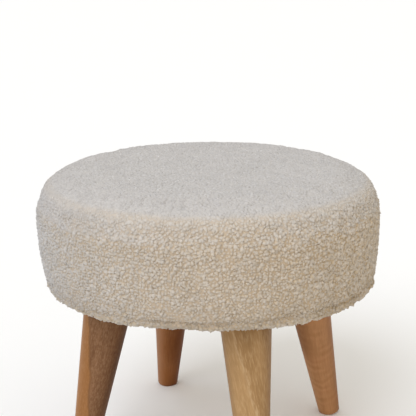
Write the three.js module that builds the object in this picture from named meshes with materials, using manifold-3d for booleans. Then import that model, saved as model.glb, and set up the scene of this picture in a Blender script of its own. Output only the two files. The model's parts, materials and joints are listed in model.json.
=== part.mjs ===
import * as THREE from "three";
import { mergeVertices } from "three/addons/utils/BufferGeometryUtils.js";
import manifoldModule from "manifold-3d";

// Round footstool in millimetres, floor at z = 0, +Z up, front towards -Y.

// Seat pad, measured to the tips of its curly nap
const padRadius = 205;
const underside = 212;
const widestHeight = 290;
const shoulderRise = 57;
const crown = 5.5;
const shoulderFullness = 14;
const shoulderRound = 2.3;
const drawnIn = 7;
const rimRound = 5.5;
const boardRadius = 178;

// Turned legs, set under the board
const legTopRadius = 30;
const legFootRadius = 13.6;
const footWear = 1.2;
const pieceGap = 0.3;
const legSides = 64;

// The hem of the cover, hand drawn, so it hangs and tucks unevenly round the pad.
// azimuth: degrees from the front towards +X; drop: below the underside; tuck: further in.
const hem = [
  { azimuth: 8, drop: -1.3, tuck: 0 },
  { azimuth: 18, drop: -2.2, tuck: 0 },
  { azimuth: 25, drop: 0.1, tuck: 0 },
  { azimuth: 31, drop: -0.8, tuck: 0 },
  { azimuth: 44, drop: 1, tuck: 0 },
  { azimuth: 54, drop: 1.7, tuck: -0.3 },
  { azimuth: 68, drop: 1.9, tuck: -0.6 },
  { azimuth: 80, drop: 1, tuck: -1.1 },
  { azimuth: 105, drop: 0.4, tuck: -1.7 },
  { azimuth: 135, drop: 0.8, tuck: -0.6 },
  { azimuth: 165, drop: -0.6, tuck: 0.4 },
  { azimuth: 200, drop: 0.8, tuck: 0 },
  { azimuth: 235, drop: -0.8, tuck: 0.5 },
  { azimuth: 270, drop: 0.5, tuck: 1 },
  { azimuth: 305, drop: 0, tuck: 1.8 },
  { azimuth: 330, drop: -0.4, tuck: 0.6 },
  { azimuth: 354, drop: -0.2, tuck: 0 },
];

// Each leg stands by hand near its own diagonal of the pad.
// turn: degrees off the diagonal; topOut, footOut: its axis from the middle of the pad.
const legs = [
  { name: "leg_front_right", turn: -2.8, topOut: 131.5, footOut: 170 },
  { name: "leg_back_right", turn: 1.2, topOut: 128, footOut: 171 },
  { name: "leg_back_left", turn: 0, topOut: 129.5, footOut: 170 },
  { name: "leg_front_left", turn: 1.5, topOut: 124, footOut: 166.5 },
];

const padSides = 96;
const rimSteps = 5;
const sideSteps = 8;
const shoulderSteps = 11;
const topSteps = 5;

const outwards = (azimuth) => {
  const a = THREE.MathUtils.degToRad(azimuth);
  return new THREE.Vector3(Math.sin(a), -Math.cos(a), 0);
};

// The hem's drop and tuck at any azimuth, eased from one row of its table to the next
function hemAt(azimuth) {
  const next = hem.findIndex((row) => row.azimuth > azimuth);
  const b = next < 0 ? 0 : next;
  const to = hem[b];
  const from = hem[(b + hem.length - 1) % hem.length];
  const span = (to.azimuth - from.azimuth + 360) % 360;
  const along = ((azimuth - from.azimuth + 360) % 360) / span;
  const ease = (1 - Math.cos(Math.PI * along)) / 2;
  return {
    drop: THREE.MathUtils.lerp(from.drop, to.drop, ease),
    tuck: THREE.MathUtils.lerp(from.tuck, to.tuck, ease),
  };
}

// Height of the pad's upper face at a share s of its radius
const upperHeight = (s) => {
  const roll = Math.pow(Math.max(0, 1 - Math.pow(s, shoulderFullness)), 1 / shoulderRound);
  return widestHeight + shoulderRise * roll + crown * (1 - s * s);
};

// The pad's outline at one azimuth, from the board's edge round the rim and up to near the middle
function padOutline(azimuth) {
  const { drop, tuck } = hemAt(azimuth);
  const rimRadius = padRadius - drawnIn - tuck;
  const rimTop = underside - drop + rimRound;
  const points = [];
  points.push([boardRadius, underside]);
  for (let i = 0; i < rimSteps; i++) {
    const a = (i / rimSteps) * (Math.PI / 2);
    points.push([rimRadius - rimRound + rimRound * Math.sin(a), rimTop - rimRound * Math.cos(a)]);
  }
  for (let i = 0; i < sideSteps; i++) {
    const u = 1 - i / sideSteps;
    const z = widestHeight - (widestHeight - rimTop) * u;
    points.push([padRadius - (drawnIn + tuck) * u * u, z]);
  }
  for (let i = 0; i <= shoulderSteps; i++) {
    const t = (i / shoulderSteps) * 1.42;
    const s = Math.pow(Math.cos(t), 2 / shoulderFullness);
    points.push([padRadius * s, upperHeight(s)]);
  }
  const lastShare = points.at(-1)[0] / padRadius;
  for (let i = 1; i < topSteps; i++) {
    const s = lastShare * (1 - i / topSteps);
    points.push([padRadius * s, upperHeight(s)]);
  }
  return points;
}

function seatPad() {
  const vertices = [0, 0, underside];
  const triangles = [];
  const columns = [];
  for (let c = 0; c < padSides; c++) {
    const azimuth = (c / padSides) * 360;
    const out = outwards(azimuth);
    const column = [];
    for (const [r, z] of padOutline(azimuth)) {
      column.push(vertices.length / 3);
      vertices.push(out.x * r, out.y * r, z);
    }
    columns.push(column);
  }
  const peak = vertices.length / 3;
  vertices.push(0, 0, upperHeight(0));
  for (let c = 0; c < padSides; c++) {
    const here = columns[c];
    const next = columns[(c + 1) % padSides];
    triangles.push(0, next[0], here[0]);
    for (let i = 0; i + 1 < here.length; i++) {
      triangles.push(here[i], next[i], next[i + 1]);
      triangles.push(here[i], next[i + 1], here[i + 1]);
    }
    triangles.push(peak, here.at(-1), next.at(-1));
  }
  const geometry = new THREE.BufferGeometry();
  geometry.setAttribute("position", new THREE.Float32BufferAttribute(vertices, 3));
  geometry.setIndex(triangles);
  return geometry;
}

const kernel = await manifoldModule();
kernel.setup();
const { Manifold, Mesh } = kernel;

const toSolid = (geometry) => {
  geometry.deleteAttribute("uv");
  geometry.deleteAttribute("normal");
  const welded = mergeVertices(geometry, 1e-4);
  return new Manifold(
    new Mesh({
      numProp: 3,
      vertProperties: new Float32Array(welded.attributes.position.array),
      triVerts: new Uint32Array(welded.index.array),
    })
  );
};

const toGeometry = (solid) => {
  const mesh = solid.getMesh();
  const geometry = new THREE.BufferGeometry();
  geometry.setAttribute("position", new THREE.BufferAttribute(mesh.vertProperties, 3));
  geometry.setIndex(new THREE.BufferAttribute(mesh.triVerts, 1));
  return geometry;
};

// One leg: a straight taper along its leaning axis, cut square at the foot,
// cut level just under the board, and worn flat where its inner edge meets the floor
function turnedLeg(leg, index) {
  const out = outwards(45 + 90 * index + leg.turn);
  const lean = Math.atan2(leg.footOut - leg.topOut, underside);
  const foot = out.clone().multiplyScalar(leg.footOut);
  foot.z = legFootRadius * Math.sin(lean) - footWear;
  const top = out.clone().multiplyScalar(leg.topOut);
  top.z = underside;
  const axis = top.clone().sub(foot);
  const length = axis.length();
  axis.normalize();
  const spare = legTopRadius;
  const flare = (legTopRadius - legFootRadius) / length;
  const taper = new THREE.CylinderGeometry(
    legTopRadius + flare * spare,
    legFootRadius,
    length + spare,
    legSides
  );
  taper.translate(0, (length + spare) / 2, 0);
  const stand = new THREE.Quaternion().setFromUnitVectors(new THREE.Vector3(0, 1, 0), axis);
  taper.applyQuaternion(stand);
  taper.translate(foot.x, foot.y, foot.z);
  const level = toSolid(taper).trimByPlane([0, 0, -1], -(underside - pieceGap));
  return toGeometry(level.trimByPlane([0, 0, 1], 0));
}

const stool = new THREE.Group();
stool.name = "footstool";

const cover = new THREE.MeshStandardMaterial({ color: 0xcdc3b4, roughness: 0.95 });
const pad = new THREE.Mesh(seatPad(), cover);
pad.name = "seat_pad";
stool.add(pad);

legs.forEach((leg, index) => {
  const wood = new THREE.MeshStandardMaterial({ color: 0xa87d52, roughness: 0.5 });
  const mesh = new THREE.Mesh(turnedLeg(leg, index), wood);
  mesh.name = leg.name;
  stool.add(mesh);
});

export default stool;
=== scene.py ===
import json
import math

import bmesh
import bpy
from mathutils import Matrix, Vector, noise

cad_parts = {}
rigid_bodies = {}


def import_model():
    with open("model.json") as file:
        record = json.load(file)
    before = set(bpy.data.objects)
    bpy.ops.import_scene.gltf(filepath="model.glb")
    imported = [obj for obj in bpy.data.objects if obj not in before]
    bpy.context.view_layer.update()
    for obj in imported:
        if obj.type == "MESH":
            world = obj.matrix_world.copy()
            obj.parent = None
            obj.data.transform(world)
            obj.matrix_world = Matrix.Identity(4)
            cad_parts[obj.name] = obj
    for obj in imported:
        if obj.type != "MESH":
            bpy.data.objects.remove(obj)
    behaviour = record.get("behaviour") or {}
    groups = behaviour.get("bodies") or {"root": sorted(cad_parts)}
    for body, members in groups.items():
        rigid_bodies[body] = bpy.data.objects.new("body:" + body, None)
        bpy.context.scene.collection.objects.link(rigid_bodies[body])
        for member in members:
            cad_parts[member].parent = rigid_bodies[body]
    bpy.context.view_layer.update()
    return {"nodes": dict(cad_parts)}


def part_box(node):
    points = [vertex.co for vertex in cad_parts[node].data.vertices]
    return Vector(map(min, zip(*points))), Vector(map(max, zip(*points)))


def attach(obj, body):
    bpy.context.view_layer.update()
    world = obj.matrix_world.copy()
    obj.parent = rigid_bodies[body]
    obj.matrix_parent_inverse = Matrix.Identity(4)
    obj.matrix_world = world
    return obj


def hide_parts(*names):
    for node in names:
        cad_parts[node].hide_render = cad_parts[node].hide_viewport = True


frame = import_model()
scene = bpy.context.scene
padLow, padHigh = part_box("seat_pad")
padRadius = (padHigh.x - padLow.x) / 2
seatGap = 0.0003  # the legs stop this far under the pad
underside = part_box("leg_front_right")[1].z + seatGap
print("frame loaded, pad radius", round(padRadius, 4), "underside", round(underside, 4))


# places and meshes

def linkObject(name, data):
    obj = bpy.data.objects.new(name, data)
    scene.collection.objects.link(obj)
    return obj


def direction(azimuth):
    angle = math.radians(azimuth)  # from the front (-Y) towards +X
    return Vector((math.sin(angle), -math.cos(angle), 0))


def raised(azimuth, elevation):
    rise = math.radians(elevation)
    return direction(azimuth) * math.cos(rise) + Vector((0, 0, math.sin(rise)))


def azimuthOf(point):
    return math.degrees(math.atan2(point.x, -point.y)) % 360


def awayFrom(azimuth, middle):
    return abs((azimuth - middle + 180) % 360 - 180)


def smoothStep(low, high, value):
    t = min(1, max(0, (value - low) / (high - low)))
    return t * t * (3 - 2 * t)


def smoothShade(mesh):
    mesh.polygons.foreach_set("use_smooth", [True] * len(mesh.polygons))
    mesh.update()


def shellMesh(name, points, sides):
    # the first and last points close the ends, the others are rings
    end = len(points) - 1
    lastRing = end - sides
    faces = []
    for k in range(sides):
        beside = (k + 1) % sides
        faces.append((0, 1 + beside, 1 + k))
        for ring in range(1, lastRing, sides):
            faces.append((ring + k, ring + beside, ring + beside + sides, ring + k + sides))
        faces.append((end, lastRing + k, lastRing + beside))
    mesh = bpy.data.meshes.new(name)
    mesh.from_pydata(points, [], faces)
    work = bmesh.new()
    work.from_mesh(mesh)
    bmesh.ops.recalc_face_normals(work, faces=work.faces)
    work.to_mesh(mesh)
    work.free()
    smoothShade(mesh)
    return mesh


def storeValues(mesh, name, values):
    mesh.attributes.new(name, "FLOAT", "POINT").data.foreach_set("value", values)


def storeVectors(mesh, name, vectors):
    flat = [part for vector in vectors for part in vector]
    mesh.attributes.new(name, "FLOAT_VECTOR", "POINT").data.foreach_set("vector", flat)


# nodes

def addNode(tree, kind, **values):
    node = tree.nodes.new(kind)
    for key, value in values.items():
        if hasattr(node, key):
            setattr(node, key, value)
        else:
            node.inputs[key].default_value = value
    return node


def feed(tree, socket, value):
    if isinstance(value, bpy.types.NodeSocket):
        tree.links.new(value, socket)
    else:
        socket.default_value = value


def mathNode(tree, operation, *values):
    node = addNode(tree, "ShaderNodeMath", operation=operation)
    for socket, value in zip(node.inputs, values):
        feed(tree, socket, value)
    return node.outputs[0]


def plus(tree, a, b):
    return mathNode(tree, "ADD", a, b)


def minus(tree, a, b):
    return mathNode(tree, "SUBTRACT", a, b)


def times(tree, a, b):
    return mathNode(tree, "MULTIPLY", a, b)


def centred(tree, value, amount):
    return times(tree, minus(tree, value, 0.5), amount)


def vectorNode(tree, operation, vector, socketName, value):
    node = addNode(tree, "ShaderNodeVectorMath", operation=operation)
    feed(tree, node.inputs[0], vector)
    feed(tree, node.inputs[socketName], value)
    return node.outputs[0]


def stretch(tree, vector, scale):
    return vectorNode(tree, "MULTIPLY", vector, 1, scale)


def scaled(tree, vector, factor):
    return vectorNode(tree, "SCALE", vector, "Scale", factor)


def opaque(colour):
    return (*colour, 1)


def mixColour(tree, factor, a, b, blend="MIX"):
    node = addNode(tree, "ShaderNodeMix", data_type="RGBA", blend_type=blend)
    feed(tree, node.inputs[0], factor)
    for socket, colour in ((node.inputs[6], a), (node.inputs[7], b)):
        feed(tree, socket, opaque(colour) if isinstance(colour, tuple) else colour)
    return node.outputs[2]


def noiseNode(tree, vector, scale, detail=2.0, roughness=0.5):
    node = addNode(tree, "ShaderNodeTexNoise", Scale=scale, Detail=detail, Roughness=roughness)
    tree.links.new(vector, node.inputs["Vector"])
    return node.outputs["Fac"]


def remap(tree, value, fromRange, toRange=(0.0, 1.0)):
    node = addNode(tree, "ShaderNodeMapRange")
    tree.links.new(value, node.inputs["Value"])
    for name, limit in zip(("From Min", "From Max", "To Min", "To Max"), (*fromRange, *toRange)):
        feed(tree, node.inputs[name], limit)
    return node.outputs["Result"]


def attribute(tree, name, output="Fac"):
    return addNode(tree, "ShaderNodeAttribute", attribute_name=name).outputs[output]


def newGroup(name, kind, inputs, outputs):
    tree = bpy.data.node_groups.new(name, kind)
    for way, sockets in (("INPUT", inputs), ("OUTPUT", outputs)):
        for label, socketKind in sockets.items():
            tree.interface.new_socket(name=label, in_out=way, socket_type="NodeSocket" + socketKind)
    return tree, addNode(tree, "NodeGroupInput"), addNode(tree, "NodeGroupOutput")


def placeGroup(tree, group):
    node = tree.nodes.new("ShaderNodeGroup")
    node.node_tree = group
    return node


def newMaterial(name):
    material = bpy.data.materials.new(name)
    material.use_nodes = True
    return material, material.node_tree, material.node_tree.nodes["Principled BSDF"]


def setInputs(node, values):
    for name, value in values.items():
        node.inputs[name].default_value = value


def addBump(tree, shader, height, strength, distance, normal=None):
    bump = addNode(tree, "ShaderNodeBump", Strength=strength, Distance=distance)
    tree.links.new(height, bump.inputs["Height"])
    if normal is not None:
        tree.links.new(normal, bump.inputs["Normal"])
    tree.links.new(bump.outputs["Normal"], shader.inputs["Normal"])


# yarn, shared by the locks and the ground

yarnLook = {
    "patches": (26.0, 3.0),  # scale and detail of soft patches a few centimetres across
    "patchShade": 0.16,
    "fibres": (1500.0, 2.0),
    "fibreShade": 0.12,
}


def yarnFibreGroup():
    look = yarnLook
    tree, inside, outside = newGroup(
        "yarnFibre", "ShaderNodeTree",
        {"Color": "Color", "Tone": "Float", "Spread": "Float"},
        {"Color": "Color", "Height": "Float"})
    place = addNode(tree, "ShaderNodeTexCoord").outputs["Object"]
    patch = noiseNode(tree, place, *look["patches"])
    fibre = noiseNode(tree, place, *look["fibres"])
    even = centred(tree, patch, look["patchShade"])
    own = centred(tree, inside.outputs["Tone"], inside.outputs["Spread"])
    fine = centred(tree, fibre, look["fibreShade"])
    level = plus(tree, plus(tree, even, own), plus(tree, fine, 1.0))
    tree.links.new(scaled(tree, inside.outputs["Color"], level), outside.inputs["Color"])
    tree.links.new(fibre, outside.inputs["Height"])
    return tree


# cover: the curly locks and the woven ground under them

coverLook = {
    "root": (0.585, 0.468, 0.328),
    "tip": (0.59, 0.536, 0.482),
    # painted sheen and cool light: the greyer lit colours of the top, the rim and the left side
    "paintedLitTip": (0.57, 0.557, 0.563),
    "ground": (0.505, 0.403, 0.3),
    "paintedLitGround": (0.541, 0.523, 0.517),
    "groundPales": (0.28, 0.88),  # over this stretch of the painted grey light
    # painted warm light on the right side
    "paintedWarmLight": (0.5, 0.3, 0.05),
    "warmRoots": 1.5,  # the painted warm light tints the gaps more than the tips
    # painted cool light on the left side
    "paintedCoolLight": (0.885, 0.945, 1.045),
    # the colour painted shade darkens towards, low on the sides, below the crease and on the left shoulder
    # and bend
    "hem": (0.14, 0.07, 0.0),
    "paintedRimHighlight": (0.85, 0.86, 0.85),  # painted highlight round the rim
    "toneSpread": (0.06, 0.09),  # how far locks differ, where the colour is their own and where the painted grey light is full
    "groundSpread": 0.3,
    "ownShade": 0.6,
    "weave": (420.0, 3.0),
    "loopBump": (0.35, 0.0006),  # strength and distance
    "groundBump": (0.6, 0.001),
    "loopFinish": {
        "Roughness": 0.92,
        "Specular IOR Level": 0.15,
        "Sheen Weight": 0.22,
        "Sheen Roughness": 0.45,
        "Sheen Tint": (1, 0.99, 0.97, 1),
    },
    "groundFinish": {
        "Roughness": 0.95,
        "Specular IOR Level": 0.1,
    },
}

yarnFibre = yarnFibreGroup()


# painted light: the ground greys towards its lit colour on the top, the rim and the left side
def groundColour(tree, paintedGreyLight, standing):
    paled = remap(tree, paintedGreyLight, coverLook["groundPales"])
    return mixColour(tree, paled, standing, coverLook["paintedLitGround"])


# painted warm light, painted cool light and a painted highlight round the rim
def paintCoverLight(tree, colour, warmShare):
    paintedWarmLight = times(tree, attribute(tree, "paintedWarmth"), warmShare)
    colour = mixColour(tree, paintedWarmLight, colour, coverLook["paintedWarmLight"])
    colour = mixColour(tree, attribute(tree, "paintedCoolLight"), colour, coverLook["paintedCoolLight"], "MULTIPLY")
    return mixColour(tree, attribute(tree, "paintedRimHighlight"), colour, coverLook["paintedRimHighlight"])


def softNormal(tree):
    # fibres pass light round a lock, so its shading leans towards that of the ground under it
    soft = addNode(tree, "ShaderNodeMix", data_type="VECTOR")
    soft.inputs[0].default_value = coverLook["ownShade"]
    tree.links.new(attribute(tree, "lie", "Vector"), soft.inputs[4])
    tree.links.new(addNode(tree, "ShaderNodeNewGeometry").outputs["Normal"], soft.inputs[5])
    return soft.outputs[1]


def loopMaterial():
    look = coverLook
    material, tree, shader = newMaterial("curlyLoops")
    tip = attribute(tree, "tip")
    paintedGreyLight = attribute(tree, "paintedGreyLight")
    # painted light: flanks and crowns grey towards their lit colours on the top, the rim and the left side
    rootColour = groundColour(tree, paintedGreyLight, look["root"])
    tipColour = mixColour(tree, paintedGreyLight, look["tip"], look["paintedLitTip"])
    colour = mixColour(tree, tip, rootColour, tipColour)
    colour = paintCoverLight(tree, colour, remap(tree, tip, (0.0, 1.0), (look["warmRoots"], 0.0)))
    # painted shade low on the sides, below the crease and on the left shoulder and bend
    colour = mixColour(tree, attribute(tree, "paintedCoverShade"), colour, look["hem"])
    yarn = placeGroup(tree, yarnFibre)
    tree.links.new(colour, yarn.inputs["Color"])
    tree.links.new(attribute(tree, "tone"), yarn.inputs["Tone"])
    tree.links.new(remap(tree, paintedGreyLight, (0.0, 1.0), look["toneSpread"]), yarn.inputs["Spread"])
    tree.links.new(yarn.outputs["Color"], shader.inputs["Base Color"])
    addBump(tree, shader, yarn.outputs["Height"], *look["loopBump"], softNormal(tree))
    setInputs(shader, look["loopFinish"])
    return material


def groundMaterial():
    look = coverLook
    material, tree, shader = newMaterial("wovenGround")
    place = addNode(tree, "ShaderNodeTexCoord").outputs["Object"]
    weave = noiseNode(tree, place, *look["weave"])
    colour = groundColour(tree, attribute(tree, "paintedGreyLight"), look["ground"])
    yarn = placeGroup(tree, yarnFibre)
    tree.links.new(paintCoverLight(tree, colour, look["warmRoots"]), yarn.inputs["Color"])
    tree.links.new(weave, yarn.inputs["Tone"])
    yarn.inputs["Spread"].default_value = look["groundSpread"]
    tree.links.new(yarn.outputs["Color"], shader.inputs["Base Color"])
    addBump(tree, shader, weave, *look["groundBump"])
    setInputs(shader, look["groundFinish"])
    return material


# seat pad: the filled body under the nap

padSettings = {
    "napDepth": 0.0024,  # how far the locks stand out of the ground
    "topThins": (0.2, 1.0),  # by slope, where 0 is upright and 1 is level
    "topThinner": 0.7,
    "swell": 0.002,  # the filling presses the skin out by up to this
    "swellsFrom": (0.5, 0.97),
    "turnUnder": 0.029,  # how far in from the edge the locks end under the pad
    "underRise": 0.01,
    "underInset": 0.0002,
    "merge": 0.000001,
    "voxel": 0.0034,
    "pressure": 4.0,
    "frames": 20,
    "clothQuality": 4,
    "heldHem": 0.009,  # the skin is held under this height
}
hemInside = padRadius - padSettings["turnUnder"]


def makeSkin():
    s = padSettings
    mesh = frame["nodes"]["seat_pad"].data.copy()
    work = bmesh.new()
    work.from_mesh(mesh)
    bmesh.ops.remove_doubles(work, verts=work.verts, dist=s["merge"])
    work.normal_update()
    room = s["swell"]
    moves = []
    for v in work.verts:
        depth = s["napDepth"] * (1 - s["topThinner"] * smoothStep(*s["topThins"], v.normal.z))
        depth += room * smoothStep(*s["swellsFrom"], v.normal.z)
        if v.co.xy.length < hemInside and v.co.z - underside < s["underRise"]:
            depth = s["underInset"]
        moves.append(v.normal * depth)
    for v, move in zip(work.verts, moves):
        v.co -= move
    work.to_mesh(mesh)
    work.free()
    mesh.materials.clear()
    skin = linkObject("pad_ground", mesh)
    mesh.remesh_voxel_size = s["voxel"]
    mesh.use_remesh_fix_poles = True
    bpy.context.view_layer.objects.active = skin
    skin.select_set(True)
    bpy.ops.object.voxel_remesh()
    return skin


def swellSkin(skin):
    s = padSettings
    before = [v.co.copy() for v in skin.data.vertices]
    pins = skin.vertex_groups.new(name="hem")
    pinned = [i for i, co in enumerate(before) if co.z < underside + s["heldHem"]]
    pins.add(pinned, 1.0, "REPLACE")
    cloth = skin.modifiers.new("fill", "CLOTH")
    cloth.settings.quality = s["clothQuality"]
    cloth.settings.use_pressure = True
    cloth.settings.uniform_pressure_force = s["pressure"]
    cloth.settings.effector_weights.gravity = 0
    cloth.settings.vertex_group_mass = "hem"
    cloth.point_cache.frame_start = 1
    cloth.point_cache.frame_end = s["frames"]
    for number in range(1, s["frames"] + 1):
        scene.frame_set(number)
    swollen = skin.evaluated_get(bpy.context.evaluated_depsgraph_get()).data
    after = [v.co.copy() for v in swollen.vertices]
    skin.modifiers.remove(cloth)
    skin.vertex_groups.clear()
    scene.frame_set(1)
    for v, old, new in zip(skin.data.vertices, before, after):
        move = new - old
        if move.length > s["swell"]:
            move = move * (s["swell"] / move.length)
        v.co = old + move
    skin.data.update()


# the hem, the crease over it and the lumps of the filling

hemSettings = {
    "reach": 0.03,  # heights are above the underside
    "underReach": 0.02,
    "hangs": (0.007, 0.0025),  # the lowest locks hang free
    "creaseHeight": 0.0105,
    "creaseWanders": 0.0012,
    "creaseWide": 0.0022,
    "creaseDepth": 0.0032,
    "stripEdge": 0.002,
    "creaseAt": 20,  # azimuth where it shows most
    "creaseShows": (26, 6),  # degrees away from there
    "patches": (-0.25, 0.35),
    "patchStrength": 0.7,
    "wanderNoise": (0.06, 3.7),  # per degree, and its own row of the noise
    "patchNoise": (0.035, 9.1),
    "lumps": ((34, 0.0006), (95, 0.0005)),  # per metre, and their height
    "jitter": (260, 0.0004),
    "jitterFades": (0.3, 1.0),  # by slope
    "poleRadius": 0.02,  # inside this the lumps rise instead of standing out
}


def roundNoise(azimuth, name):
    perDegree, row = hemSettings[name]
    return noise.noise(Vector((azimuth * perDegree, row, 0)))


def hemAt(point):
    s = hemSettings
    azimuth = azimuthOf(point)
    above = point.z - underside
    outside = point.xy.length > hemInside
    hem = {"above": above, "hang": 0, "groove": 0, "strip": 0}
    hem["under"] = not outside and above < s["underReach"]
    if outside:
        hem["hang"] = smoothStep(*s["hangs"], above)
    if outside and above < s["reach"]:
        crease = s["creaseHeight"] + s["creaseWanders"] * roundNoise(azimuth, "wanderNoise")
        patchy = s["patchStrength"] * smoothStep(*s["patches"], roundNoise(azimuth, "patchNoise"))
        patchy = max(patchy, smoothStep(*s["creaseShows"], awayFrom(azimuth, s["creaseAt"])))
        hem["groove"] = patchy * math.exp(-((above - crease) / s["creaseWide"]) ** 2)
        hem["strip"] = patchy * smoothStep(crease + s["stripEdge"], crease - s["stripEdge"], above)
    return hem


def moveSkin(v, normal, hem):
    s = hemSettings
    out = Vector((v.co.x, v.co.y, 0))
    out = out.normalized() if out.length > s["poleRadius"] else Vector((0, 0, 1))
    lump = sum(noise.noise(v.co * scale) * height for scale, height in s["lumps"])
    v.co += out * (lump - s["creaseDepth"] * hem["groove"])
    scale, height = s["jitter"]
    upright = 1 - smoothStep(*s["jitterFades"], normal.z)
    v.co += normal * height * noise.noise(v.co * scale) * upright


# painted light and shade on the pile round the pad, and how the locks change size round it

paintedLightAndNapSettings = {
    "paintedGreySide": 290,  # painted light and shade make the pile greyer, cooler and darker at this azimuth
    "paintedWarmAndChunkySide": 118,  # and painted warm light makes it warmer at this one, where the locks are also chunkier
    # ramps by slope, where 0 is upright and 1 is level
    "top": (0.28, 0.78),
    "pale": (0.36, 0.99),
    "rim": (-0.02, 0.44),
    "rimHighlightStarts": (0.12, 0.55),
    "rimHighlightEnds": (0.97, 0.6),
    "paintedCoolEnds": (0.65, 0.05),
    "browStarts": (0.3, 0.8),
    "browEnds": (1.0, 0.95),
    "bendStarts": (-0.05, 0.25),
    "bendEnds": (0.8, 0.5),
    # ramps by degrees away from the flat side
    "greySideReach": (105, 20),
    "shadeReach": (122, 8),
    "browReach": (150, 60),
    # ramps by degrees away from the warm side
    "warmReach": (100, 15),
    "warmRim": (90, 40),
    "chunkyReach": (95, 20),
    # ramp by height above the underside
    "hemPaintedShadeGrows": (0.036, 0.006),
    # how much painted grey light on the rim and the sides
    "rimPale": 0.4,
    "rimGreySide": 0.36,
    "rimWarmSide": 0.22,
    "shadePale": 0.43,
    "shadeHang": 0.6,
    "paintedRimHighlight": 0.09,
    "rimHighlightGreySide": 0.7,
    # how much painted warm light and painted shade
    "paintedWarmth": 0.18,
    "stripPaintedShade": 0.16,
    "hemPaintedShade": 0.15,
    "hangLight": 0.7,
    "browPaintedShade": 0.075,
    "bendPaintedShade": 0.06,
    # how much shorter, longer, wider or narrower
    "topShort": 0.85,
    "stripShort": 0.35,
    "grooveShort": 0.6,
    "hangLong": 0.45,
    "chunkyLong": 0.3,
    "hangWide": 0.35,
    "grooveNarrow": 0.4,
    "chunkyWide": 0.25,
}


def ramp(name, value):
    return smoothStep(*paintedLightAndNapSettings[name], value)


def coverTones(slope, azimuth, hem):
    s = paintedLightAndNapSettings
    aside = awayFrom(azimuth, s["paintedGreySide"])
    sunny = awayFrom(azimuth, s["paintedWarmAndChunkySide"])
    flat = ramp("greySideReach", aside)
    shade = ramp("shadeReach", aside) * (1 - s["shadeHang"] * hem["hang"])
    # painted grey light: full on the top, and on the rim by azimuth, most on the grey side
    rimGreyLight = s["rimPale"] + s["rimGreySide"] * flat + s["rimWarmSide"] * ramp("warmRim", sunny)
    pale = max(ramp("pale", slope), rimGreyLight * ramp("rim", slope))
    # painted highlight round the near rim
    paintedRimHighlight = s["paintedRimHighlight"] * ramp("rimHighlightStarts", slope) * ramp("rimHighlightEnds", slope)
    # painted shade below the crease, low on the sides and on the left shoulder and bend; locks that hang
    # free keep more light
    paintedDarks = s["stripPaintedShade"] * hem["strip"] + s["hemPaintedShade"] * ramp("hemPaintedShadeGrows", hem["above"])
    paintedDarks *= 1 - s["hangLight"] * hem["hang"]
    paintedDarks += s["browPaintedShade"] * ramp("browReach", aside) * ramp("browStarts", slope) * ramp("browEnds", slope)
    paintedDarks += s["bendPaintedShade"] * flat * ramp("bendStarts", slope) * ramp("bendEnds", slope)
    tinted = 0 if hem["under"] else 1  # the underside is plain
    return {
        "paintedGreyLight": max(pale, s["shadePale"] * shade),
        "paintedRimHighlight": paintedRimHighlight * (1 - s["rimHighlightGreySide"] * flat),
        "paintedCoolLight": tinted * shade * ramp("paintedCoolEnds", slope),
        "paintedWarmth": tinted * s["paintedWarmth"] * ramp("warmReach", sunny) * (1 - ramp("top", slope)),
        "paintedCoverShade": paintedDarks,
    }


def napSizes(slope, azimuth, hem):
    s = paintedLightAndNapSettings
    hang = hem["hang"]
    top = ramp("top", slope)
    chunky = ramp("chunkyReach", awayFrom(azimuth, s["paintedWarmAndChunkySide"])) * (1 - top)
    height = (1 - s["topShort"] * top) * (1 - s["stripShort"] * hem["strip"] * (1 - hang))
    height *= 1 - s["grooveShort"] * hem["groove"]
    height *= (1 + s["hangLong"] * hang) * (1 + s["chunkyLong"] * chunky)
    width = (1 + s["hangWide"] * hang) * (1 - s["grooveNarrow"] * hem["groove"])
    return {
        "napHeight": 0.0 if hem["under"] else height,
        "napWidth": width * (1 + s["chunkyWide"] * chunky),
    }


def finishSkin(skin):
    mesh = skin.data
    lie = [v.normal.copy() for v in mesh.vertices]
    rows = []
    for v, normal in zip(mesh.vertices, lie):
        hem = hemAt(v.co)
        if not hem["under"]:
            moveSkin(v, normal, hem)
        azimuth = azimuthOf(v.co)
        rows.append({**coverTones(normal.z, azimuth, hem), **napSizes(normal.z, azimuth, hem)})
    for name in rows[0]:
        storeValues(mesh, name, [row[name] for row in rows])
    storeVectors(mesh, "lie", lie)
    smoothShade(mesh)


# curly nap, one lock in a few variants

curlSettings = {
    "sides": 4,
    "profile": ((0.0, 0.0), (0.06, 0.74), (0.5, 1.08), (0.94, 0.74), (1.0, 0.0)),  # along, girth
    "tail": 0.55,  # the ends reach this share of the thickness further
    "lift": -0.0005,  # height of the lock's middle line over the ground
    "flatten": 0.85,
    "uneven": 0.4,
    "unevenSteps": (3.1, 1.7, 4.3),  # noise between variants, sides and rings
    "crown": (0.1, 0.95),  # slopes from the flanks to the crown
    "spacing": 0.0029,
    "mostPerSquareMetre": 1000000,
    "leastNap": 0.05,
    "girth": (0.72, 1.6),  # smallest and largest
    "tall": (0.66, 0.96),
    "lean": 0.3,
    "sink": 0.00015,
    "clump": 0.25,  # how far neighbours rise and sink together
    "clumpSize": 105.0,
    "clumpNoise": (0.3, 0.7),
    "napRange": (0.15, 1.5),  # nap heights from pressed flat to hanging free
    "napStretch": (0.5, 1.3),
    "sinkRange": (0.15, 1.0),
    "seed": 11,
    "shapeSeed": 3,
    "leanSeed": 5,
    "girthSeed": 7,
    "tallSeed": 8,
    "toneSeed": 9,
}

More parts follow.
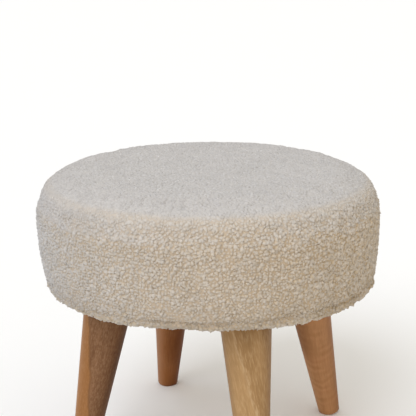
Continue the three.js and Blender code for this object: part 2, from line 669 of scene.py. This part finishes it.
curlShapes = (
    # length of the lock, its half thickness, how far it turns, how high its middle lies
    (0.0015, 0.00220, 0.6, 0.0003),
    (0.0032, 0.00196, 2.4, 0.0006),
    (0.0026, 0.00206, -1.4, 0.0006),
    (0.0019, 0.00216, -0.9, 0.0004),
    (0.0043, 0.00181, -3.2, 0.0004),
    (0.0034, 0.00191, 1.2, 0.0008),
    (0.0022, 0.00211, 1.7, 0.0004),
    (0.0037, 0.00186, -2.1, 0.0006),
)


def curlMesh(index):
    s = curlSettings
    length, thick, bend, dome = curlShapes[index]
    curve = length / bend
    variantStep, sideStep, ringStep = s["unevenSteps"]
    points = []
    for along, girth in s["profile"]:
        heading = bend * (along - 0.5)
        ahead = Vector((math.cos(heading), math.sin(heading), 0))
        side = Vector((-math.sin(heading), math.cos(heading), 0))
        centre = Vector((curve * math.sin(heading), curve * (1 - math.cos(heading)),
                         dome * math.sin(math.pi * along) + s["lift"]))
        if girth == 0:
            tail = ahead * thick * s["tail"]
            points.append(centre + (tail if along > 0.5 else -tail))
            continue
        for k in range(s["sides"]):
            around = 2 * math.pi * (k + 0.5) / s["sides"]
            ray = side * math.cos(around) + Vector((0, 0, math.sin(around) * s["flatten"]))
            own = noise.noise(Vector((index * variantStep, k * sideStep, along * ringStep)))
            points.append(centre + ray * thick * girth * (1 + s["uneven"] * own))
    middle = sum(points, Vector()) / len(points)
    points = [p - Vector((middle.x, middle.y, 0)) for p in points]
    mesh = shellMesh(f"curl{index}", points, s["sides"])
    storeValues(mesh, "tip", [smoothStep(*s["crown"], v.normal.z) for v in mesh.vertices])
    return mesh


randomSockets = {
    # the least, the most and the result of each kind
    "FLOAT_VECTOR": (0, 1, 0),
    "FLOAT": (2, 3, 1),
    "INT": (4, 5, 2),
}


def randomValue(tree, kind, least, most, seed):
    leastSocket, mostSocket, result = randomSockets[kind]
    node = addNode(tree, "FunctionNodeRandomValue", data_type=kind, Seed=seed)
    node.inputs[leastSocket].default_value = least
    node.inputs[mostSocket].default_value = most
    return node.outputs[result]


def skinValue(tree, name):
    node = addNode(tree, "GeometryNodeInputNamedAttribute", data_type="FLOAT", Name=name)
    return node.outputs["Attribute"]


def combine(tree, *values):
    node = addNode(tree, "ShaderNodeCombineXYZ")
    for socket, value in zip(node.inputs, values):
        feed(tree, socket, value)
    return node.outputs[0]


def sectorMask(tree, inside, napHeight):
    # this piece's own sector of the pad, where there is a nap
    place = addNode(tree, "ShaderNodeSeparateXYZ")
    tree.links.new(addNode(tree, "GeometryNodeInputPosition").outputs[0], place.inputs[0])
    turned = mathNode(tree, "ARCTAN2", place.outputs["X"], times(tree, place.outputs["Y"], -1.0))
    degrees = times(tree, turned, 180 / math.pi)
    onward = mathNode(tree, "FLOORED_MODULO", minus(tree, degrees, inside.outputs["From azimuth"]), 360.0)
    width = minus(tree, inside.outputs["To azimuth"], inside.outputs["From azimuth"])
    chosen = mathNode(tree, "LESS_THAN", onward, width)
    for part in (mathNode(tree, "GREATER_THAN", place.outputs["Z"], inside.outputs["Lowest"]),
                 mathNode(tree, "LESS_THAN", place.outputs["Z"], inside.outputs["Highest"]),
                 mathNode(tree, "GREATER_THAN", napHeight, curlSettings["leastNap"])):
        chosen = times(tree, chosen, part)
    return chosen


def curlTurn(tree, upright, napHeight):
    s = curlSettings
    lean = randomValue(tree, "FLOAT_VECTOR", (-s["lean"], -s["lean"], 0),
                       (s["lean"], s["lean"], 2 * math.pi), s["leanSeed"])
    leaning = addNode(tree, "FunctionNodeEulerToRotation")
    tree.links.new(stretch(tree, lean, combine(tree, napHeight, napHeight, 1.0)), leaning.inputs[0])
    turn = addNode(tree, "FunctionNodeRotateRotation", rotation_space="LOCAL")
    tree.links.new(upright, turn.inputs[0])
    tree.links.new(leaning.outputs[0], turn.inputs[1])
    return turn.outputs[0]


def curlSize(tree, napHeight):
    s = curlSettings
    girth = randomValue(tree, "FLOAT", *s["girth"], s["girthSeed"])
    tall = randomValue(tree, "FLOAT", *s["tall"], s["tallSeed"])
    clump = addNode(tree, "ShaderNodeTexNoise", Scale=s["clumpSize"], Detail=1.0).outputs[0]
    together = remap(tree, clump, s["clumpNoise"], (1 - s["clump"], 1 + s["clump"]))
    height = times(tree, times(tree, tall, together), girth)
    short = remap(tree, napHeight, s["napRange"], s["napStretch"])
    plump = times(tree, girth, skinValue(tree, "napWidth"))
    return combine(tree, plump, plump, times(tree, height, short))


def napTree(curls, material):
    s = curlSettings
    tree, inside, outside = newGroup(
        "curlyNap", "GeometryNodeTree",
        {"Ground": "Geometry", "Spacing": "Float", "Seed": "Int", "From azimuth": "Float",
         "To azimuth": "Float", "Lowest": "Float", "Highest": "Float"},
        {"Nap": "Geometry"})
    link = tree.links.new
    spread = addNode(tree, "GeometryNodeDistributePointsOnFaces", distribute_method="POISSON")
    link(inside.outputs["Ground"], spread.inputs["Mesh"])
    link(inside.outputs["Spacing"], spread.inputs["Distance Min"])
    link(inside.outputs["Seed"], spread.inputs["Seed"])
    spread.inputs["Density Max"].default_value = s["mostPerSquareMetre"]
    napHeight = skinValue(tree, "napHeight")

    # where the pile is rubbed flat the locks sink until only their crowns show
    sunk = remap(tree, napHeight, s["sinkRange"], (-s["sink"], 0.0))
    lower = addNode(tree, "GeometryNodeSetPosition")
    link(spread.outputs["Points"], lower.inputs["Geometry"])
    link(scaled(tree, spread.outputs["Normal"], sunk), lower.inputs["Offset"])

    shapes = addNode(tree, "GeometryNodeCollectionInfo")
    setInputs(shapes, {"Collection": curls, "Separate Children": True, "Reset Children": True})
    grow = addNode(tree, "GeometryNodeInstanceOnPoints")
    grow.inputs["Pick Instance"].default_value = True
    link(lower.outputs[0], grow.inputs["Points"])
    link(sectorMask(tree, inside, napHeight), grow.inputs["Selection"])
    link(shapes.outputs[0], grow.inputs["Instance"])
    link(randomValue(tree, "INT", 0, len(curlShapes) - 1, s["shapeSeed"]), grow.inputs["Instance Index"])
    link(curlTurn(tree, spread.outputs["Rotation"], napHeight), grow.inputs["Rotation"])
    link(curlSize(tree, napHeight), grow.inputs["Scale"])

    keep = addNode(tree, "GeometryNodeStoreNamedAttribute", data_type="FLOAT", domain="INSTANCE",
                   Name="tone")
    link(grow.outputs[0], keep.inputs["Geometry"])
    link(randomValue(tree, "FLOAT", 0.0, 1.0, s["toneSeed"]), keep.inputs["Value"])
    real = addNode(tree, "GeometryNodeRealizeInstances")
    link(keep.outputs[0], real.inputs[0])
    dye = addNode(tree, "GeometryNodeSetMaterial", Material=material)
    link(real.outputs[0], dye.inputs["Geometry"])
    link(dye.outputs[0], outside.inputs["Nap"])
    return tree


napPieces = (
    # name, from azimuth, to azimuth, on the top
    ("nap_top_left", 180, 360, True),
    ("nap_top_right", 0, 180, True),
    ("nap_side_front", -45, 45, False),
    ("nap_side_right", 45, 135, False),
    ("nap_side_back", 135, 225, False),
    ("nap_side_left", 225, 315, False),
)
topDepth = 0.0195  # the locks of the top stand in this much of the pad's height
topEdge = padHigh.z - topDepth
aboveAll = 1.0


def growPiece(name, skin, tree, values, material):
    carrier = linkObject("carrier", skin.data)
    grow = carrier.modifiers.new("nap", "NODES")
    grow.node_group = tree
    for item in tree.interface.items_tree:
        if item.in_out == "INPUT" and item.name in values:
            grow[item.identifier] = values[item.name]
    bpy.context.view_layer.update()
    shown = carrier.evaluated_get(bpy.context.evaluated_depsgraph_get())
    mesh = bpy.data.meshes.new_from_object(shown)
    carrier.modifiers.remove(grow)
    bpy.data.objects.remove(carrier)
    mesh.polygons.foreach_set("material_index", [0] * len(mesh.polygons))
    mesh.materials.clear()
    mesh.materials.append(material)
    mesh.name = name
    print("nap", name, len(mesh.polygons), "faces")
    return linkObject(name, mesh)


def growNap(skin, material):
    curls = bpy.data.collections.new("curlShapes")
    for index in range(len(curlShapes)):
        curls.objects.link(bpy.data.objects.new(f"curl{index}", curlMesh(index)))
    tree = napTree(curls, material)
    pieces = []
    for name, start, end, onTop in napPieces:
        values = {
            "Spacing": curlSettings["spacing"],
            "Seed": curlSettings["seed"],
            "From azimuth": float(start),
            "To azimuth": float(end),
            "Lowest": topEdge if onTop else 0.0,
            "Highest": aboveAll if onTop else topEdge,
        }
        pieces.append(growPiece(name, skin, tree, values, material))
    for curl in list(curls.objects):
        bpy.data.objects.remove(curl)
    bpy.data.collections.remove(curls)
    return pieces


skin = makeSkin()
print("pad remeshed,", len(skin.data.vertices), "points")
swellSkin(skin)
print("pad filled")
finishSkin(skin)
skin.data.materials.append(groundMaterial())
napMeshes = growNap(skin, loopMaterial())
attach(skin, "root")
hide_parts("seat_pad")
for piece in napMeshes:
    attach(piece, "root")
print("pad done")


# wood figure and the painted shade on the legs, shared by the legs

figureLook = {
    # each layer's stretch over the grain per metre, its detail and roughness
    "broad": ((90, 90, 9), 3.0, 0.55),
    "streak": ((420, 420, 20), 4.0, 0.6),
    "swing": ((34, 34, 40), 2.0, 0.5),
    "fade": ((40, 40, 55), 1.0, 0.5),
    "wander": ((18, 18, 36), 1.0, 0.4),
    "fleckDetail": (2.0, 0.6),
    "broadShare": 0.9,
    "streakShare": 0.7,
    "tones": (0.45, 1.15),
    "flecks": (0.5, 0.66),
    "pores": (0.46, 0.32),
    "bands": 640.0,  # of the cross figure, in radians per metre
    "bandSwing": 9.0,
    "bandSag": 6.0,
    "bandFade": (0.42, 0.62),
    "edgeWander": 0.7,
    "edgeFleck": 0.35,
    "lineStrength": 2.1,
    "lineBreaks": (0.4, 0.6),
    "lineLeast": 0.25,
    "painted_shade": (0.48, 0.37, 0.25),  # what the painted shade keeps of each colour
    "glossFrom": (0.3, 0.7),
    "gloss": (0.38, 0.52),
    "fleckHeight": 0.6,
}


def grainLayer(tree, grain, name):
    scale, detail, roughness = figureLook[name]
    return noiseNode(tree, stretch(tree, grain, scale), 1.0, detail, roughness)


def crossFigure(tree, inside, grain):
    # it sags and fades in patches
    look = figureLook
    along = addNode(tree, "ShaderNodeSeparateXYZ")
    tree.links.new(grain, along.inputs[0])
    bands = plus(tree, times(tree, along.outputs["Z"], look["bands"]),
                 times(tree, grainLayer(tree, grain, "swing"), look["bandSwing"]))
    bands = plus(tree, bands, times(tree, inside.outputs["Sag"], look["bandSag"]))
    faded = remap(tree, grainLayer(tree, grain, "fade"), look["bandFade"])
    return times(tree, times(tree, mathNode(tree, "SINE", bands), faded), inside.outputs["Ripple"])


def woodBody(tree, inside, figure, fleck):
    share = remap(tree, figure, figureLook["tones"])
    body = mixColour(tree, share, inside.outputs["Deep"], inside.outputs["Pale"])
    for part, colour in (("flecks", "Fleck colour"), ("pores", "Deep")):
        mask = times(tree, remap(tree, fleck, figureLook[part]), inside.outputs["Fleck"])
        body = mixColour(tree, mask, body, inside.outputs[colour])
    return body


def withSapwood(tree, inside, body, grain, fleck):
    # its edge wanders and has a thin broken line along it
    look = figureLook
    wander = grainLayer(tree, grain, "wander")
    edge = plus(tree, inside.outputs["Sap"], centred(tree, wander, look["edgeWander"]))
    edge = plus(tree, edge, centred(tree, fleck, look["edgeFleck"]))
    soft = inside.outputs["Sap edge"]
    mask = remap(tree, edge, (minus(tree, 0.5, soft), plus(tree, 0.5, soft)))
    sapTone = mixColour(tree, inside.outputs["Sap share"], body, inside.outputs["Sap colour"])
    colour = mixColour(tree, mask, body, sapTone)
    line = times(tree, times(tree, mask, minus(tree, 1.0, mask)), look["lineStrength"])
    broken = times(tree, line, remap(tree, fleck, look["lineBreaks"], (look["lineLeast"], 1.0)))
    return mixColour(tree, broken, colour, inside.outputs["Line colour"])


def woodFigureGroup():
    look = figureLook
    inputs = {"Grain": "Vector", "Fleck scale": "Vector"}
    for name in ("Pale", "Deep", "Sap colour", "Fleck colour", "Line colour"):
        inputs[name] = "Color"
    for name in ("Fleck", "Ripple", "Sag", "Sap", "Sap share", "Sap edge", "Painted_shade"):
        inputs[name] = "Float"
    tree, inside, outside = newGroup(
        "woodFigure", "ShaderNodeTree", inputs, {"Color": "Color", "Roughness": "Float", "Height": "Float"})
    grain = inside.outputs["Grain"]
    streak = grainLayer(tree, grain, "streak")
    fleckPlace = stretch(tree, grain, inside.outputs["Fleck scale"])
    fleck = noiseNode(tree, fleckPlace, 1.0, *look["fleckDetail"])
    figure = plus(tree, times(tree, grainLayer(tree, grain, "broad"), look["broadShare"]),
                  times(tree, streak, look["streakShare"]))
    figure = plus(tree, figure, crossFigure(tree, inside, grain))
    body = woodBody(tree, inside, figure, fleck)
    colour = withSapwood(tree, inside, body, grain, fleck)
    # painted shade on the shadow sides, the edges and under the pad
    paintedShadeColour = mixColour(tree, 1.0, colour, look["painted_shade"], "MULTIPLY")
    colour = mixColour(tree, inside.outputs["Painted_shade"], colour, paintedShadeColour)
    tree.links.new(colour, outside.inputs["Color"])
    tree.links.new(remap(tree, streak, look["glossFrom"], look["gloss"]), outside.inputs["Roughness"])
    tree.links.new(plus(tree, streak, times(tree, fleck, look["fleckHeight"])), outside.inputs["Height"])
    return tree


# legs: turned, tapered, each from its own blank

legSettings = {
    "sides": 72,
    "rings": 40,
    "footRound": 0.0009,
    "footRoundShare": 0.3,  # where the edge of the foot has its middle ring
    "topRadius": 0.030,
    "footRadius": 0.0136,
    "wear": 0.0012,
    "firstAt": 45,  # azimuth of the first leg, the others follow at right angles
    "sagAt": 25,  # the cross figure hangs lowest at this azimuth
    "sapSoft": 20,
    "paintedShadeCore": 0.15,  # share of its reach in which a painted shade is full
    "blankStart": (0.03, 0.0, 0.0),
    "blankStep": (0.11, 0.07, 0.31),  # each leg is cut from another place in the wood
    "bump": (0.25, 0.0004),
    "specular": 0.14,
}

allHeights = (-1, 0)  # full from the floor up
legLooks = {
    # where it stands, tones of its blank, its fleck and cross figure, the twist of its grain,
    # the sapwood's middle by azimuth at the top, how far that moves round per metre down, its width,
    # and patches of painted shade: azimuth, reach, strength, between which heights they grow
    "leg_front_right": {
        "turn": -2.8, "topOut": 0.1315, "footOut": 0.170, "twist": -6.0,
        "pale": (0.43, 0.258, 0.116), "deep": (0.285, 0.16, 0.064),
        "fleckColour": (0.50, 0.335, 0.175), "fleck": 0.5, "fleckScale": (600, 600, 80), "ripple": 0.03,
        "sap": (0.46, 0.29, 0.14), "line": (0.56, 0.40, 0.235),
        "sapAt": -66, "slant": 520, "sapWide": 50, "sapEdge": 0.2, "sapShare": 0.25,
        "paintedDarks": ((120, 75, 0.6, allHeights), (-68, 50, 0.35, allHeights), (0, 360, 0.33, (0.18, 0.207))),
    },
    "leg_back_right": {
        "turn": 1.2, "topOut": 0.128, "footOut": 0.171, "twist": 2.0,
        "pale": (0.535, 0.275, 0.128), "deep": (0.37, 0.172, 0.072),
        "fleckColour": (0.50, 0.27, 0.13), "fleck": 0.12, "fleckScale": (560, 560, 120), "ripple": 0.17,
        "sap": (0.5, 0.27, 0.12), "line": (0.3, 0.15, 0.06),
        "sapAt": 60, "slant": 0, "sapWide": 0, "sapEdge": 0.6, "sapShare": 0.5,
        "paintedDarks": ((300, 95, 0.75, (0.06, 0.105)), (112, 85, 0.65, allHeights)),
    },
    "leg_back_left": {
        "turn": 0.0, "topOut": 0.1295, "footOut": 0.170, "twist": 1.0,
        "pale": (0.29, 0.108, 0.03), "deep": (0.20, 0.068, 0.017),
        "fleckColour": (0.29, 0.12, 0.045), "fleck": 0.2, "fleckScale": (560, 560, 60), "ripple": 0.04,
        "sap": (0.40, 0.205, 0.105), "line": (0.32, 0.13, 0.045),
        # partly painted light: on this leg the paler sapwood band covers the lit left half
        "sapAt": 300, "slant": 0, "sapWide": 55, "sapEdge": 0.6, "sapShare": 0.6,
        "paintedDarks": ((118, 105, 0.8, allHeights), (90, 110, 0.55, (0.02, 0.06))),
    },
    "leg_front_left": {
        "turn": 1.5, "topOut": 0.124, "footOut": 0.1665, "twist": 3.0,
        "pale": (0.30, 0.16, 0.082), "deep": (0.14, 0.061, 0.024),
        "fleckColour": (0.33, 0.195, 0.11), "fleck": 0.5, "fleckScale": (600, 600, 230), "ripple": 0.05,
        "sap": (0.40, 0.175, 0.05), "line": (0.13, 0.056, 0.02),
        "sapAt": 283, "slant": 330, "sapWide": 50, "sapEdge": 0.16, "sapShare": 0.55,
        "paintedDarks": ((112, 100, 0.9, allHeights), (70, 90, 0.35, (0.16, 0.195)), (0, 60, 0.2, (0.19, 0.13))),
    },
}

woodFigure = woodFigureGroup()


def woodMaterial(name, look):
    material, tree, shader = newMaterial(name)
    figure = placeGroup(tree, woodFigure)
    tree.links.new(attribute(tree, "grain", "Vector"), figure.inputs["Grain"])
    for part in ("Sap", "Painted_shade", "Sag"):
        tree.links.new(attribute(tree, part.lower()), figure.inputs[part])
    setInputs(figure, {
        "Pale": opaque(look["pale"]),
        "Deep": opaque(look["deep"]),
        "Sap colour": opaque(look["sap"]),
        "Fleck colour": opaque(look["fleckColour"]),
        "Line colour": opaque(look["line"]),
        "Fleck scale": look["fleckScale"],
        "Fleck": look["fleck"],
        "Ripple": look["ripple"],
        "Sap edge": look["sapEdge"],
        "Sap share": look["sapShare"],
    })
    tree.links.new(figure.outputs["Color"], shader.inputs["Base Color"])
    tree.links.new(figure.outputs["Roughness"], shader.inputs["Roughness"])
    addBump(tree, shader, figure.outputs["Height"], *legSettings["bump"])
    shader.inputs["Specular IOR Level"].default_value = legSettings["specular"]
    return material


def legEnds(index, look):
    s = legSettings
    out = direction(s["firstAt"] + 90 * index + look["turn"])
    lean = math.atan2(look["footOut"] - look["topOut"], underside)
    foot = out * look["footOut"] + Vector((0, 0, s["footRadius"] * math.sin(lean) - s["wear"]))
    top = out * look["topOut"] + Vector((0, 0, underside))
    return foot, top


def legStations(length):
    # rings from the middle of the foot, round its edge, and up the taper, where the radius follows
    s = legSettings
    foot = s["footRadius"]
    edge = s["footRound"]
    eased = edge * s["footRoundShare"]
    stations = [(0.0, foot * 0.5), (0.0, foot - edge), (eased, foot - eased)]
    stations += [(edge + length * k / s["rings"], None) for k in range(s["rings"] + 1)]
    return stations


def legPoints(foot, top, topLevel, twist):
    s = legSettings
    axis = (top - foot).normalized()
    length = (top - foot).length
    across = axis.cross(Vector((0, 0, 1))).normalized()
    ahead = across.cross(axis).normalized()
    taper = (s["topRadius"] - s["footRadius"]) / length
    stations = legStations(length)
    points = [foot.copy()]
    grains = [Vector((0, 0, 0))]
    for number, (along, radius) in enumerate(stations):
        for k in range(s["sides"]):
            angle = 2 * math.pi * k / s["sides"]
            ray = across * math.cos(angle) + ahead * math.sin(angle)
            height = along
            if number == len(stations) - 1:
                # slide along the taper's own line to the level cut under the pad
                low = foot + ray * s["footRadius"]
                height = (topLevel - low.z) / (axis + ray * taper).z
            r = s["footRadius"] + taper * height if radius is None else radius
            points.append(foot + axis * height + ray * r)
            around = angle + twist * height
            grains.append(Vector((r * math.cos(around), r * math.sin(around), height)))
    topMiddle = foot + axis * ((topLevel - foot.z) / axis.z)
    points.append(Vector((topMiddle.x, topMiddle.y, topLevel)))
    grains.append(Vector((0, 0, length)))
    for point in points:
        point.z = max(0.0, point.z)  # worn level where it stands
    return points, grains


# painted shade by azimuth and height
def paintedShadeAt(around, height, look):
    kept = 1
    for at, reach, strength, heights in look["paintedDarks"]:
        core = reach * legSettings["paintedShadeCore"]
        beside = smoothStep(reach, core, awayFrom(around, at))
        kept *= 1 - strength * beside * smoothStep(*heights, height)
    return 1 - kept


def sapAt(around, height, look):
    if look["sapWide"] == 0:
        return 0.0
    middle = look["sapAt"] + look["slant"] * (underside - height)
    soft = legSettings["sapSoft"]
    return smoothStep(look["sapWide"] + soft, look["sapWide"] - soft, awayFrom(around, middle))


def turnLeg(node, index, look):
    s = legSettings
    foot, top = legEnds(index, look)
    axis = (top - foot).normalized()
    points, grains = legPoints(foot, top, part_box(node)[1].z, look["twist"])
    mesh = shellMesh(node + "_wood", points, s["sides"])
    blank = Vector(s["blankStart"]) + Vector(s["blankStep"]) * index
    arounds = [azimuthOf(point - foot - axis * grain.z) for point, grain in zip(points, grains)]
    storeVectors(mesh, "grain", [grain + blank for grain in grains])
    storeValues(mesh, "sag", [math.cos(math.radians(around - s["sagAt"])) for around in arounds])
    storeValues(mesh, "painted_shade", [paintedShadeAt(around, p.z, look) for around, p in zip(arounds, points)])
    storeValues(mesh, "sap", [sapAt(around, p.z, look) for around, p in zip(arounds, points)])
    mesh.materials.append(woodMaterial(node + "_wood", look))
    return linkObject(node + "_wood", mesh)


for index, (node, look) in enumerate(legLooks.items()):
    leg = turnLeg(node, index, look)
    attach(leg, "root")
    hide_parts(node)
print("legs done")


# floor, light and camera

studio = {
    "floorSize": 60.0,
    "floorColour": (0.935, 0.945, 0.97),
    "floorRoughness": 0.9,
    "skyStrength": 0.73,
    "skyColour": (1.07, 1.0, 0.87),
    "lampDistance": 3,
    "lights": {
        # azimuth, elevation, strength, softness, colour
        "key": (-8, 46, 1.34, 40, (0.94, 1.0, 1.1)),
        "side": (-105, 36, 0.25, 60, (0.5, 0.85, 1.3)),
    },
}

half = studio["floorSize"] / 2
corners = [(-half, -half, 0), (half, -half, 0), (half, half, 0), (-half, half, 0)]
floorMesh = bpy.data.meshes.new("floor")
floorMesh.from_pydata(corners, [], [(0, 1, 2, 3)])
floor = linkObject("floor", floorMesh)
floorMaterial, _, floorShader = newMaterial("paleFloor")
setInputs(floorShader, {"Base Color": opaque(studio["floorColour"]), "Roughness": studio["floorRoughness"]})
floorMesh.materials.append(floorMaterial)

world = bpy.data.worlds.new("studio")
world.use_nodes = True
sky = world.node_tree.nodes["Background"]
setInputs(sky, {"Color": opaque(studio["skyColour"]), "Strength": studio["skyStrength"]})
scene.world = world

for name, (azimuth, elevation, strength, softness, colour) in studio["lights"].items():
    lamp = bpy.data.lights.new(name, "SUN")
    lamp.energy = strength
    lamp.color = colour
    lamp.angle = math.radians(softness)
    towards = raised(azimuth, elevation)
    lampObject = linkObject(name, lamp)
    lampObject.location = towards * studio["lampDistance"]
    lampObject.rotation_euler = (-towards).to_track_quat("-Z", "Y").to_euler()
scene.view_settings.view_transform = "Standard"

viewFit = {
    "azimuth": 24.54,
    "elevation": 14.34,
    "roll": -0.49,
    "distance": 1.230,
    "aimHeight": 0.2966,
    "focalPixels": 1023.0,
    "framePixels": 416,
    "sensor": 36.0,
}
camera = bpy.data.cameras.new("photoCamera")
camera.sensor_width = viewFit["sensor"]
camera.lens = viewFit["sensor"] * viewFit["focalPixels"] / viewFit["framePixels"]
back = raised(viewFit["azimuth"], viewFit["elevation"])
right = Vector((0, 0, 1)).cross(back).normalized()
up = back.cross(right)
roll = math.radians(viewFit["roll"])
rolledRight = right * math.cos(roll) + up * math.sin(roll)
rolledUp = up * math.cos(roll) - right * math.sin(roll)
spot = Vector((0, 0, viewFit["aimHeight"])) + back * viewFit["distance"]
cameraObject = linkObject("photoCamera", camera)
cameraObject.matrix_world = Matrix((
    (rolledRight.x, rolledUp.x, back.x, spot.x),
    (rolledRight.y, rolledUp.y, back.y, spot.y),
    (rolledRight.z, rolledUp.z, back.z, spot.z),
    (0, 0, 0, 1),
))
scene.camera = cameraObject
print("studio done")
